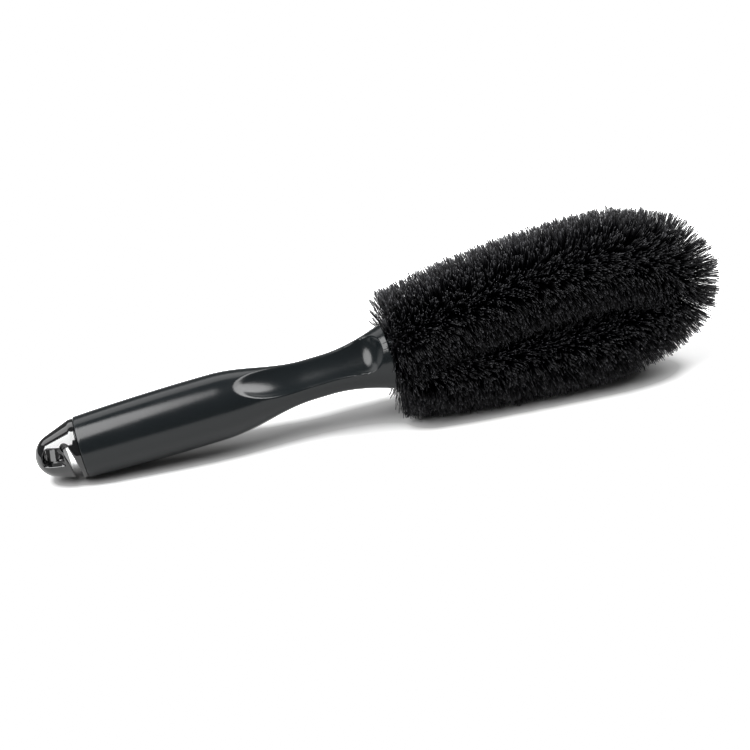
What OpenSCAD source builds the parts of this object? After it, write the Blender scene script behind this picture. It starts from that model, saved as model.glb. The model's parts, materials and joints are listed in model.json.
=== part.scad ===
// Wheel brush: a moulded handle that holds a loop of twisted wire full of bristles.
// X runs from the hanging end to the tip of the head and Z is up. The brush lies as it does on
// a bench, with the back of its grip and the lower flank of its head on the plane Z = 0.

/* [Handle] */
// Length of the hanging end and the handle together, up to the bristles
handle_len = 138.7; // [134:0.1:144]
// Diameter of the grip where it is fullest
grip_d = 25.8; // [24:0.1:27]
// Diameter of the neck between grip and flare
neck_d = 15.7; // [15:0.1:17]
// Diameter of the flared mouth behind the bristles
flare_d = 25.9; // [24:0.1:27]
// Wall of the hollow grip
grip_wall = 2.3; // [2:0.1:3]

/* [Thumb recess] */
// Turn of the recess about the handle, up from level, in degrees
recess_turn = 49; // [40:1:60]
// Radius of the hollow across the recess
recess_r = 14; // [12:0.5:18]
// Distance from the handle's axis to the floor of the recess
recess_floor = 4.6; // [4.5:0.1:5.5]

/* [End cap] */
// Length of the cap outside the grip
cap_len = 17.5; // [16:0.1:19]
// Diameter of the cap's collar
cap_d = 23; // [22:0.1:23.4]
// Radius of the rounded nose
nose_r = 8.3; // [7.5:0.1:9]
// Length of the plug that is pressed into the grip
spigot_len = 13; // [8:0.5:16]

/* [Hang hole] */
// Diameter of the hole through the cap
hole_d = 6.2; // [5:0.1:6.4]
// Distance of the hole from the nose
hole_x = 6.9; // [6.7:0.1:7]
// Height of the hole above the middle of the cap
hole_rise = 2.9; // [2.5:0.1:3.1]
// Turn of the hole about the handle, so that its near mouth is the lower one, in degrees
hole_turn = 4; // [2:1:8]
// Length of the flat-sided mouth at each end of the hole
mouth_len = 8.4; // [7:0.1:8.6]
// Width of the slot that opens the cap downwards, so that it hooks over a wire or a rail
slot_w = 2.8; // [2.2:0.1:2.9]

/* [Wire loop] */
// Diameter of each of the two twisted strands
wire_d = 1.7; // [1.4:0.05:1.75]
// Length of one turn of the twist
twist_pitch = 9; // [8:0.5:14]
// Half the width of the loop at its widest
loop_half = 14.9; // [13:0.1:16]
// Distance from the hanging end to the loop's widest place
loop_wide_x = 222; // [215:1:230]
// Distance from the hanging end to the far end of the loop
loop_end_x = 254.5; // [250:0.5:260]
// Bend radius at the far end of the loop
loop_end_r = 9; // [7:0.5:12]

/* [Bristles] */
// Reach of the bristles from the wire
bristle_r = 18.8; // [16:0.1:22]
// Number of groups along each run of the loop
groups = 6; // [6:1:6]

/* [Rest] */
// Lean of the handle up from the bench, in degrees
rest_tilt = 6.7; // [6.5:0.1:7]
// Sag of the head below the handle's line, in degrees
head_sag = 1; // [0.8:0.1:1.2]

/* [Hidden] */

$fn = 72;
far = 400;                               // longer than the brush, for cutting solids
fit_gap = 0.05;                          // clearance between pieces that are pressed together
soft_gap = 0.15;                         // half the space left between bristle groups

// Handle outline: where each stretch starts and ends along X
grip_full_x = 60;
shoulder_x = 70;
neck_start_x = 107;
neck_end_x = 114;
grip_taper = 1;                          // loss of radius from the fullest place to the cap
grip_taper_len = 42.5;
flare_power = 1.8;
edge = 0.4;                              // broken edge at each end of the handle
neck_r = neck_d / 2;

function grip_r(x) = grip_d / 2 - grip_taper * pow((x - grip_full_x) / grip_taper_len, 2);
shoulder_r = grip_r(shoulder_x);
function shoulder_blend(x) = (1 + cos(180 * (x - shoulder_x) / (neck_start_x - shoulder_x))) / 2;
function flare_blend(x) = pow((x - neck_end_x) / (handle_len - neck_end_x), flare_power);
function handle_r(x) =
    x <= shoulder_x ? grip_r(x) :
    x <= neck_start_x ? neck_r + (shoulder_r - neck_r) * shoulder_blend(x) :
    x <= neck_end_x ? neck_r :
    neck_r + (flare_d / 2 - neck_r) * flare_blend(x);

outline_step = 2;
handle_outline = concat(
    [[cap_len, handle_r(cap_len) - edge]],
    [for (x = [cap_len + edge : outline_step : handle_len - outline_step / 2]) [x, handle_r(x)]],
    [[handle_len - edge, handle_r(handle_len - edge)], [handle_len, flare_d / 2 - 2 * edge]]
);

// Thumb recess: the floor dives from the grip, runs level along the neck and ends in a round
recess_start_x = 78.6;
recess_level_x = 106;
recess_end_x = 136.4;
recess_end_r = 6;
recess_dive = 7.7;                       // how far the floor rises towards the grip
recess_power = 2.5;
recess_steps = 10;
recess_axis = recess_floor + recess_r;   // distance from the handle's axis to the cutter's
function recess_dive_at(x) =
    recess_dive * pow((recess_level_x - x) / (recess_level_x - recess_start_x), recess_power);

// Bore of the hollow grip: a socket for the cap's plug, a wider stretch and a narrowing end
socket_r = handle_r(cap_len) - grip_wall;
bore_r = grip_d / 2 - grip_wall;
socket_end_x = cap_len + spigot_len + 1;
bore_wide_x = 50;
bore_full_x = 66;
bore_narrow_x = 75;
bore_end_x = 79;
bore_step = 0.3;                         // loss of radius where the bore meets the socket
bore_narrow_r = bore_r - 2.2;
bore_end_r = bore_r - 5;

// Stems: the two ends of the loop run side by side in the neck
stem_half = 1.85;
stem_end_x = 113;
stem_bend_x = 128;
strand_gap = 0.03;                       // half the space between the two strands
twist_r = wire_d / 2 + strand_gap;       // radius of each strand's spiral
pair_r = twist_r + wire_d / 2;           // radius of the twisted pair
stem_gap = 0.17;
stem_bore_r = pair_r + stem_gap;
sleeve_x = 114.5;
sleeve_len = 10.5;
sleeve_wall = 0.32;
sleeve_r = pair_r + sleeve_wall;
collar_r = 8;
collar_len = 2.2;

// Loop: a long arc for each run, a shoulder arc and one tight arc round the far end
run_len = loop_wide_x - stem_bend_x;
run_turn = 2 * atan((loop_half - stem_half) / run_len);
run_r = run_len / sin(run_turn);
end_len = loop_end_x - loop_end_r - loop_wide_x;
shoulder_turn = 2 * atan((loop_half - loop_end_r) / end_len);
shoulder_bend_r = loop_end_r + end_len / sin(shoulder_turn);
end_centre_x = loop_end_x - loop_end_r;

stem_path = stem_bend_x - stem_end_x;
run_path = run_r * run_turn * PI / 180;
shoulder_path = shoulder_bend_r * shoulder_turn * PI / 180;
end_path = loop_end_r * (90 - shoulder_turn) * PI / 180;
half_path = stem_path + run_path + shoulder_path + end_path;

// Point of the upper half of the loop at a length s from the stem's end, as [x, height, heading]
function on_arc(centre_x, centre_h, r, heading) =
    [centre_x - r * sin(heading), centre_h + r * cos(heading), heading];
function upper_point(s) =
    s <= stem_path ? [stem_end_x + s, stem_half, 0] :
    s <= stem_path + run_path ?
        on_arc(loop_wide_x, loop_half - run_r, run_r,
               run_turn - (s - stem_path) / run_r * 180 / PI) :
    s <= stem_path + run_path + shoulder_path ?
        on_arc(loop_wide_x, loop_half - shoulder_bend_r, shoulder_bend_r,
               -(s - stem_path - run_path) / shoulder_bend_r * 180 / PI) :
        on_arc(end_centre_x, 0, loop_end_r,
               -90 + (half_path - s) / loop_end_r * 180 / PI);
function mirrored(p) = [p[0], -p[1], -180 - p[2]];
function loop_point(s) =
    s <= half_path ? upper_point(s) : mirrored(upper_point(2 * half_path - s));

// Strand: rings of points round a spiral that follows the loop
ring_sides = 8;
rings_per_turn = 8;
ring_count = ceil(2 * half_path / twist_pitch * rings_per_turn);
function ring_point(p, twist, side) =
    let (
        turn = 360 * side / ring_sides,
        out = twist_r * cos(twist) + wire_d / 2 * cos(turn),
        across = twist_r * sin(twist) + wire_d / 2 * sin(turn)
    )
    [p[0] - out * sin(p[2]), across, p[1] + out * cos(p[2])];

// Bristle groups along one run, measured as turns about the run's long arc
bristle_start_x = 141.6;                 // where the bristles begin on the wire
root_turn = asin((loop_wide_x - bristle_start_x) / run_r);
group_turn = root_turn / groups;
channel_gap = 0.3;                       // space round the wire inside the bristles
channel_r = pair_r + channel_gap;

// How the brush lies: lifted until the handle touches the bench, with the origin under the middle
lift = max([for (p = handle_outline) p[1] * cos(rest_tilt) - p[0] * sin(rest_tilt)]);
low_x = nose_r * cos(rest_tilt) - nose_r;
far_x = handle_len * cos(rest_tilt)
    + (end_centre_x - handle_len) * cos(rest_tilt - head_sag) + loop_end_r + bristle_r;
mid_x = (low_x + far_x) / 2;

module at_rest() {
    translate([-mid_x, 0, lift])
    rotate([0, -rest_tilt, 0])
        children();
}

module sagged() {
    translate([handle_len, 0, 0])
    rotate([0, head_sag, 0])
    translate([-handle_len, 0, 0])
        children();
}

module above_bench() {
    intersection() {
        children();
        translate([-far / 2, -far / 2, 0])
            cube(far);
    }
}

// Turns an outline of [x, radius] points about the handle's axis
module turned(outline) {
    rotate([0, 90, 0])
    rotate_extrude()
        polygon(concat([[0, outline[0][0]]], [for (p = outline) [p[1], p[0]]],
                       [[0, outline[len(outline) - 1][0]]]));
}

module rod(x, length, r) {
    translate([x, 0, 0])
    rotate([0, 90, 0])
        cylinder(r = r, h = length);
}

// Sweeps a section along an arc that stands in the loop's plane; angles rise from +X towards +Z
module along_arc(centre_x, centre_h, from, to) {
    translate([centre_x, 0, centre_h])
    rotate([90, 0, 0])
    rotate([0, 0, from])
    rotate_extrude(angle = to - from)
        children();
}

module recess_cutter() {
    floor_step = (recess_level_x - recess_start_x) / recess_steps;
    floor_r = [for (i = [0 : recess_steps])
        let (x = recess_start_x + i * floor_step) [x, recess_r - recess_dive_at(x)]];
    end_round = [for (a = [0 : 10 : 90])
        [recess_end_x - recess_end_r * (1 - sin(a)), recess_r - recess_end_r * (1 - cos(a))]];
    translate([0, -recess_axis * cos(recess_turn), recess_axis * sin(recess_turn)])
        turned(concat(floor_r, end_round));
}

module grip_bore() {
    turned([
        [cap_len - 1, socket_r], [socket_end_x, socket_r],
        [socket_end_x + 1, bore_r - bore_step], [bore_wide_x, bore_r], [bore_full_x, bore_r],
        [bore_narrow_x, bore_narrow_r], [bore_end_x, bore_end_r]
    ]);
}

// The passage that one stem takes through the neck and the flare
module stem_passage() {
    translate([0, 0, stem_half])
        rod(stem_end_x - fit_gap, stem_path + fit_gap, stem_bore_r);
    along_arc(loop_wide_x, loop_half - run_r, 90 + root_turn, 90 + run_turn)
        translate([run_r, 0])
            circle(r = stem_bore_r);
}

module both_stems() {
    sagged() {
        children();
        mirror([0, 0, 1])
            children();
    }
}

// The outside of the double-barrelled crimp sleeve, grown by a clearance
module sleeve_block(grow) {
    for (side = [-1, 1])
        translate([0, 0, side * stem_half])
            rod(sleeve_x - grow, sleeve_len + 2 * grow, sleeve_r + grow);
    translate([sleeve_x - grow, -sleeve_r - grow, -stem_half])
        cube([sleeve_len + 2 * grow, 2 * (sleeve_r + grow), 2 * stem_half]);
}

module handle() {
    color("#1c1d1e")
    at_rest()
    difference() {
        turned(handle_outline);
        grip_bore();
        recess_cutter();
        rotate([180, 0, 0])
            recess_cutter();
        rod(handle_len - collar_len, collar_len + 1, collar_r + fit_gap);
        both_stems()
            stem_passage();
        sagged()
            sleeve_block(fit_gap);
    }
}

// Cap outline: a ball, a cone, a collar with broken edges, and the plug inside the grip
cone_x = 15.2;                           // where the cone meets the collar
cone_r = cap_d / 2 - 0.1;
collar_edge = 0.3;
nose_turn = 69.6;                        // how far round the nose the ball goes on
nose_step = nose_turn / 12;
plug_r = socket_r - fit_gap;
plug_end_x = cap_len + spigot_len;
plug_edge = 0.95;
plug_wall = 1.55;
plug_floor_x = 16.8;                     // where the hollow of the plug ends inside the cap
cap_outline = concat(
    [for (a = [0 : nose_step : nose_turn]) [nose_r * (1 - cos(a)), nose_r * sin(a)]],
    [[cone_x, cone_r], [cap_len - collar_edge, cap_d / 2], [cap_len, cap_d / 2 - collar_edge],
     [cap_len, plug_r], [plug_end_x - 1, plug_r], [plug_end_x, plug_r - plug_edge]]
);

hole_round_half = 4.6;                   // the hole is round up to this distance from its middle

// The slot follows a flat arc, from below the cap up to beside the hole
slot_bend_r = 33.5;
slot_centre_x = -19.3;
slot_centre_h = -6;
slot_from = -14;
slot_to = 19.9;

module hang_hole() {
    translate([hole_x, 0, hole_rise])
    rotate([hole_turn, 0, 0]) {
        rotate([90, 0, 0])
            cylinder(d = hole_d, h = 2 * cap_d, center = true);
        for (side = [-1, 1])
            translate([0, side * (hole_round_half + cap_d / 2), 0])
                cube([mouth_len, cap_d, hole_d], center = true);
    }
}

module hook_slot() {
    along_arc(slot_centre_x, slot_centre_h, slot_from, slot_to)
        translate([slot_bend_r, 0])
            square([slot_w, 2 * cap_d], center = true);
    translate([slot_centre_x + slot_bend_r * cos(slot_to), 0,
               slot_centre_h + slot_bend_r * sin(slot_to)])
    rotate([90, 0, 0])
        cylinder(d = slot_w, h = 2 * cap_d, center = true);
}

module end_cap() {
    color("#141515")
    at_rest()
    difference() {
        turned(cap_outline);
        rod(plug_floor_x, plug_end_x - plug_floor_x + 1, plug_r - plug_wall);
        hang_hole();
        hook_slot();
    }
}

module stem_collar() {
    color("#202122")
    at_rest()
    difference() {
        rod(handle_len - collar_len + fit_gap, collar_len - fit_gap, collar_r);
        both_stems()
            stem_passage();
    }
}

module crimp_sleeve() {
    color("#b8babb")
    at_rest()
    sagged()
    difference() {
        sleeve_block(0);
        for (side = [-1, 1])
            translate([0, 0, side * stem_half])
                rod(sleeve_x - 1, sleeve_len + 2, pair_r + fit_gap);
    }
}

module wire_strand(start) {
    points = [for (i = [0 : ring_count]) for (j = [0 : ring_sides - 1])
        ring_point(loop_point(2 * half_path * i / ring_count),
                   start + 360 * i / rings_per_turn, j)];
    last = ring_count * ring_sides;
    sides = [for (i = [0 : ring_count - 1]) for (j = [0 : ring_sides - 1])
        let (a = i * ring_sides + j, b = i * ring_sides + (j + 1) % ring_sides)
        each [[a, a + ring_sides, b], [b, a + ring_sides, b + ring_sides]]];
    ends = [[for (j = [0 : ring_sides - 1]) j], [for (j = [ring_sides - 1 : -1 : 0]) last + j]];
    color("#8f9294")
    at_rest()
    sagged()
        polyhedron(points = points, faces = concat(sides, ends), convexity = 10);
}

module bristle_section() {
    difference() {
        circle(r = bristle_r);
        circle(r = channel_r);
    }
}

module upper_side() {
    intersection() {
        children();
        translate([0, -far / 2, soft_gap])
            cube(far);
    }
}

// One group of bristles on the upper run, number 1 next to the handle
module run_group(number) {
    trim = soft_gap / run_r * 180 / PI;
    upper_side()
    along_arc(loop_wide_x, loop_half - run_r,
              90 + root_turn - number * group_turn + trim,
              90 + root_turn - (number - 1) * group_turn - trim)
        translate([run_r, 0])
            bristle_section();
}

module shoulder_group() {
    trim = soft_gap / shoulder_bend_r * 180 / PI;
    upper_side()
    along_arc(loop_wide_x, loop_half - shoulder_bend_r,
              90 - shoulder_turn + trim, 90 - trim)
        translate([shoulder_bend_r, 0])
            bristle_section();
}

module bristles_upper(number) {
    color("#0c0c0d")
    at_rest()
    sagged()
        run_group(number);
}

module bristles_lower(number) {
    color("#0c0c0d")
    above_bench()
    at_rest()
    sagged()
    mirror([0, 0, 1])
        run_group(number);
}

module bristles_shoulder_upper() {
    color("#0c0c0d")
    at_rest()
    sagged()
        shoulder_group();
}

module bristles_shoulder_lower() {
    color("#0c0c0d")
    above_bench()
    at_rest()
    sagged()
    mirror([0, 0, 1])
        shoulder_group();
}

module bristles_tip() {
    color("#0c0c0d")
    at_rest()
    sagged()
    along_arc(end_centre_x, 0, shoulder_turn - 90, 90 - shoulder_turn)
    intersection() {
        translate([loop_end_r, 0])
            bristle_section();
        translate([soft_gap, -far / 2])
            square(far);
    }
}

handle();
end_cap();
stem_collar();
crimp_sleeve();
wire_strand(0);  // wire_strand_a
wire_strand(180);  // wire_strand_b
for (i = [1 : groups]) {
    bristles_upper(i);
    bristles_lower(i);
}
bristles_shoulder_upper();
bristles_tip();
bristles_shoulder_lower();
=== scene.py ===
"""Wheel brush: the visible surfaces, built round the packed model.

Shapes are worked out in metres along the handle: X runs from the tip of the hanging end towards
the head, Y runs across, and Z stands up from the handle's axis. on_bench() then lays them down.
"""

import json
from math import asin, atan, cos, pi, radians, sin

import bpy
import numpy as np
from bpy.props import FloatProperty, FloatVectorProperty, IntProperty, PointerProperty
from mathutils import Matrix, Vector


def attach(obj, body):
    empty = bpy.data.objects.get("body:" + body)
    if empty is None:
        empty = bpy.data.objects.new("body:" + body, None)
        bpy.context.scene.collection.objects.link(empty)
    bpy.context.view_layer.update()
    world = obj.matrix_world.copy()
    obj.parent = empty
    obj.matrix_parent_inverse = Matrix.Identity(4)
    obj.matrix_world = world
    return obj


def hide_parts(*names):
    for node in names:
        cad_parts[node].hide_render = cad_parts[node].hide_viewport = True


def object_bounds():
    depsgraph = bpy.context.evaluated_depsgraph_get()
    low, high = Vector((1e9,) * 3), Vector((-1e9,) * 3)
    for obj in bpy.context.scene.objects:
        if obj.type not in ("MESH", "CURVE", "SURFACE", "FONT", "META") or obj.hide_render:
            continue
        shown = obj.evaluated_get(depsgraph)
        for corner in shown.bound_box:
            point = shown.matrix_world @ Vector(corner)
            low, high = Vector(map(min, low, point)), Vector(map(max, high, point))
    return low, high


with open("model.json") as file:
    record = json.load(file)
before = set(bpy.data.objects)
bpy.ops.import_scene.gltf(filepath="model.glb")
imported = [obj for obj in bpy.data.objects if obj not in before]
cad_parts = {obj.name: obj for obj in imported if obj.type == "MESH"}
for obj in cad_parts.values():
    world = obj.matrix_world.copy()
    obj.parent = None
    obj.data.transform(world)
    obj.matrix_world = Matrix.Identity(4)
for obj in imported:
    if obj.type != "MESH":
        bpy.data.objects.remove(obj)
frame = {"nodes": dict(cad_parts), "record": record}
cad_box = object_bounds()

bl_info = {
    "name": "Wheel Brush",
    "version": (1, 0, 0),
    "blender": (4, 5, 0),
    "location": "3D View > Sidebar > Wheel Brush",
    "description": "Builds a wheel brush with a moulded handle and a looped head of bristles",
    "category": "Add Mesh",
}

MM = 0.001

# How the brush lies: the hang hole's mount says where the tip of the nose is.
TILT = radians(6.7)
HEAD_SAG = radians(1)
HOLE_X = 6.9 * MM
HOLE_RISE = 2.9 * MM
hang_hole = next(m for m in frame["record"]["mounts"] if m["name"] == "hang_hole")
NOSE = Vector(hang_hole["pos_m"]) - Vector((HOLE_X * cos(TILT) - HOLE_RISE * sin(TILT), 0,
                                            HOLE_X * sin(TILT) + HOLE_RISE * cos(TILT)))


def linear(hex_colour):
    """Turns an sRGB hex colour into the linear one that a shader takes."""
    parts = [int(hex_colour[i:i + 2], 16) / 255 for i in (1, 3, 5)]
    return [p / 12.92 if p <= 0.04045 else ((p + 0.055) / 1.055) ** 2.4 for p in parts] + [1.0]


def shaded(paint, times):
    """A linear colour made lighter or darker."""
    return [part * times for part in paint[:3]] + [1.0]


def size(name, millimetres, description):
    """A length that a user may change."""
    return FloatProperty(name=name, description=description, default=millimetres * MM,
                         subtype="DISTANCE", unit="LENGTH", precision=5)


def angle(name, degrees, description):
    """An angle that a user may change."""
    return FloatProperty(name=name, description=description, default=radians(degrees),
                         subtype="ANGLE", unit="ROTATION")


def colour(name, hex_colour, description):
    """A colour that a user may change."""
    return FloatVectorProperty(name=name, description=description, default=linear(hex_colour),
                               size=4, min=0, max=1, subtype="COLOR")


class HandleSizes(bpy.types.PropertyGroup):
    """Sizes of the moulded handle."""
    length: size("Length", 138.7, "From the tip of the hanging end to the bristles")
    grip_d: size("Grip", 25.8, "Diameter of the grip where it is fullest")
    neck_d: size("Neck", 15.7, "Diameter of the neck between grip and flare")
    flare_d: size("Flare", 25.9, "Diameter of the flared mouth behind the bristles")
    wall: size("Wall", 2.3, "Wall of the hollow grip")
    recess_turn: angle("Recess turn", 49, "Turn of the thumb recess about the handle, up from level")
    recess_r: size("Recess radius", 14, "Radius of the hollow across the recess")
    recess_floor: size("Recess floor", 4.6, "From the handle's axis to the floor of the recess")
    lip: size("Lip", 1.1, "How far the edge of the recess is rounded over")


class CapSizes(bpy.types.PropertyGroup):
    """Sizes of the end cap."""
    length: size("Length", 17.5, "Length of the cap outside the grip")
    collar_d: size("Collar", 23, "Diameter of the cap's collar")
    nose_r: size("Nose", 8.3, "Radius of the rounded nose")
    hole_d: size("Hole", 6.2, "Diameter of the hang hole")
    hole_turn: angle("Hole turn", 4, "Turn of the hole about the handle, near mouth down")
    mouth: size("Mouth", 8.4, "Length of the hole's flat-sided mouths")
    slot_w: size("Slot", 2.8, "Width of the slot that opens the cap downwards")
    grain: size("Facets", 0.22, "Size of the cap's facets")


class LoopSizes(bpy.types.PropertyGroup):
    """Sizes of the loop of twisted wire."""
    wire_d: size("Strand", 1.7, "Diameter of each of the two strands")
    pitch: size("Twist", 9, "Length of one turn of the twist")
    half: size("Half width", 14.9, "Half the width of the loop at its widest")
    wide_x: size("Widest place", 222, "From the hanging end to the loop's widest place")
    end_x: size("Far end", 254.5, "From the hanging end to the loop's far end")
    end_r: size("End bend", 9, "Bend radius at the far end")


class BristleSizes(bpy.types.PropertyGroup):
    """Sizes of the bristles."""
    reach: size("Reach", 18.8, "Reach of the bristles from the wire")
    filament_d: size("Filament", 0.27, "Diameter of one filament")
    per_mm: IntProperty(name="Filaments per millimetre", default=140,
                        description="Number of filament ends for each millimetre of wire")
    seed: IntProperty(name="Seed", default=7, description="Changes how the filaments scatter")


class BrushColours(bpy.types.PropertyGroup):
    """Colours of the brush and of the floor."""
    handle: colour("Handle", "#131719", "Moulded polypropylene of the grip")
    cap: colour("Cap", "#0c0d0e", "Polished ABS of the hanging end")
    collar: colour("Collar", "#1d1e1f", "Dull polyethylene disc in the flare")
    sleeve: colour("Sleeve", "#c6c8ca", "Aluminium of the crimp sleeve")
    wire: colour("Wire", "#a9acaf", "Zinc on the steel strands")
    bristle: colour("Bristles", "#0c0c0f", "Filaments near the wire")
    # The cut ends are a little lighter in any light; most of this colour is a painted glint of light
    # catching them.
    tips: colour("Bristle tips", "#707074", "Cut ends of the filaments")
    floor: colour("Floor", "#cacaca", "Sheet that the brush lies on")


class StageSettings(bpy.types.PropertyGroup):
    """Where the camera and the lights stand."""
    azimuth: angle("Azimuth", -10.89, "Turn of the camera about the vertical")
    elevation: angle("Elevation", 25.72, "Height of the camera above the bench, as an angle")
    roll: angle("Roll", -5.77, "Roll of the camera about its own axis")
    distance: size("Distance", 584.4, "From the camera to the point it looks at")
    lens: FloatProperty(name="Lens", default=72.9, unit="CAMERA",
                        description="Focal length of the camera in millimetres")


# ---------------------------------------------------------------------------------------------
# Meshes

ACROSS = np.array([0.0, 1.0, 0.0])


def on_bench(points):
    """Lays points down on the bench, as the packed model lies."""
    x, y, z = np.moveaxis(np.asarray(points, float), -1, 0)
    return np.stack((x * cos(TILT) - z * sin(TILT) + NOSE.x, y + NOSE.y,
                     x * sin(TILT) + z * cos(TILT) + NOSE.z), -1)


def sagged(points, handle_length):
    """Bends points of the head down a little from the handle's line."""
    x, y, z = np.moveaxis(np.asarray(points, float), -1, 0)
    x = x - handle_length
    return np.stack((handle_length + x * cos(HEAD_SAG) + z * sin(HEAD_SAG), y,
                     z * cos(HEAD_SAG) - x * sin(HEAD_SAG)), -1)


def sides_of(rings):
    """Faces of a tube through rings of points, with a face across each end."""
    count, around = rings.shape[:2]
    first = np.arange(count - 1)[:, None] * around
    here = first + np.arange(around)
    beside = first + (np.arange(around) + 1) % around
    quads = np.stack((here, beside, beside + around, here + around), -1).reshape(-1, 4)
    ends = [list(range(around))[::-1], list(range((count - 1) * around, count * around))]
    return quads.tolist() + ends


def add_piece(name, points, faces, material, nodes, sharp=None):
    """Makes a mesh piece that stands for CAD nodes."""
    mesh = bpy.data.meshes.new(name)
    mesh.from_pydata(np.asarray(points).reshape(-1, 3), [], faces)
    mesh.polygons.foreach_set("use_smooth", np.ones(len(mesh.polygons), bool))
    if sharp:
        mesh.set_sharp_from_angle(angle=sharp)
    mesh.materials.append(material)
    piece = bpy.data.objects.new(name, mesh)
    bpy.context.scene.collection.objects.link(piece)
    stand_for(piece, nodes)
    return piece


def stand_for(piece, nodes):
    """Fixes a piece to the brush in place of CAD nodes."""
    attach(piece, "root")
    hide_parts(*nodes)


def smooth_min(a, b, width):
    """The smaller of two distances, blended over a width where they cross."""
    share = np.clip(0.5 + 0.5 * (b - a) / width, 0, 1)
    return b + (a - b) * share - width * share * (1 - share)


def smooth_max(a, b, width):
    """The larger of two distances, blended over a width where they cross."""
    return -smooth_min(-a, -b, width)


# ---------------------------------------------------------------------------------------------
# Handle

SHOULDER_X = 70 * MM
GRIP_FULL_X = 60 * MM
NECK_START_X = 107 * MM
NECK_END_X = 114 * MM
GRIP_TAPER = 1 * MM
GRIP_TAPER_LEN = 42.5 * MM
FLARE_POWER = 1.8


def grip_radius(x, sizes):
    """Radius of the grip, which is fullest near its front."""
    return sizes.grip_d / 2 - GRIP_TAPER * ((x - GRIP_FULL_X) / GRIP_TAPER_LEN) ** 2


def handle_radius(x, sizes):
    """Outer radius of the handle before the recesses."""
    neck = sizes.neck_d / 2
    shoulder = grip_radius(SHOULDER_X, sizes)
    along = np.clip((x - SHOULDER_X) / (NECK_START_X - SHOULDER_X), 0, 1)
    flared = np.clip((x - NECK_END_X) / (sizes.length - NECK_END_X), 0, 1) ** FLARE_POWER
    behind = neck + (shoulder - neck) * (1 + np.cos(pi * along)) / 2
    return np.where(x <= SHOULDER_X, grip_radius(x, sizes),
                    behind + (sizes.flare_d / 2 - neck) * flared)


RECESS_START_X = 78.6 * MM
RECESS_LEVEL_X = 106 * MM
RECESS_DIVE = 7.7 * MM
RECESS_POWER = 2.5
RECESS_TURN_UP_X = 128.4 * MM
RECESS_END_LEN = 8.2 * MM
RECESS_END_RISE = 12 * MM
NO_RECESS = 1.0


def recess_radius(x, sizes):
    """Radius of the round cutter that hollows the recess, which runs level along the neck."""
    dive = np.clip((RECESS_LEVEL_X - x) / (RECESS_LEVEL_X - RECESS_START_X), 0, None)
    rise = np.clip((x - RECESS_TURN_UP_X) / RECESS_END_LEN, 0, 1)
    return (sizes.recess_r - RECESS_DIVE * dive ** RECESS_POWER
            - RECESS_END_RISE * (1 - np.sqrt(1 - rise ** 2)))


def recess_distance(x, turn, sizes):
    """How far a line square to the handle's axis goes before it meets the recess."""
    axis = sizes.recess_floor + sizes.recess_r
    radius = recess_radius(x, sizes)
    under = radius ** 2 - (axis * np.sin(turn)) ** 2
    meets = (under > 0) & (np.cos(turn) > 0) & (radius > 0)
    return np.where(meets, axis * np.cos(turn) - np.sqrt(np.where(meets, under, 0)), NO_RECESS)


HANDLE_SIDES = 240
HANDLE_EDGE = 0.5 * MM
EDGE_STEPS = 5
GRIP_ROW = 0.8 * MM
NECK_ROW = 0.35 * MM
RECESS_END_ROWS = 60
MOUTH_ROWS = 6


def handle_rows(sizes, cap_length):
    """Places along the handle where its outer skin has a row of points."""
    grip = np.arange(cap_length + HANDLE_EDGE, SHOULDER_X, GRIP_ROW)
    neck = np.arange(SHOULDER_X, RECESS_TURN_UP_X, NECK_ROW)
    rise = np.linspace(0, pi / 2, RECESS_END_ROWS)[:-1]
    end = RECESS_TURN_UP_X + RECESS_END_LEN * np.sin(rise)
    mouth = np.linspace(RECESS_TURN_UP_X + RECESS_END_LEN, sizes.length - HANDLE_EDGE, MOUTH_ROWS)
    return np.concatenate((grip, neck, end, mouth))


def round_edge(x, radius, start, end):
    """Points of a rounded edge between two angles, as rows of [x, radius]."""
    a = np.radians(np.linspace(start, end, EDGE_STEPS))[:, None]
    return np.concatenate((x + HANDLE_EDGE * np.cos(a), radius + HANDLE_EDGE * np.sin(a)), 1)


# The bore narrows in two steps at its far end, by these amounts in radius.
BORE_END_X = 79 * MM
BORE_END_LEN = 4 * MM
BORE_END_DROP = 5 * MM
BORE_SHOULDER_DROP = 2.2 * MM
SOCKET_LEN = 14 * MM
SOCKET_STEP_LEN = 6 * MM
COLLAR_R = 8.05 * MM
COLLAR_LEN = 2.2 * MM


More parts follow.
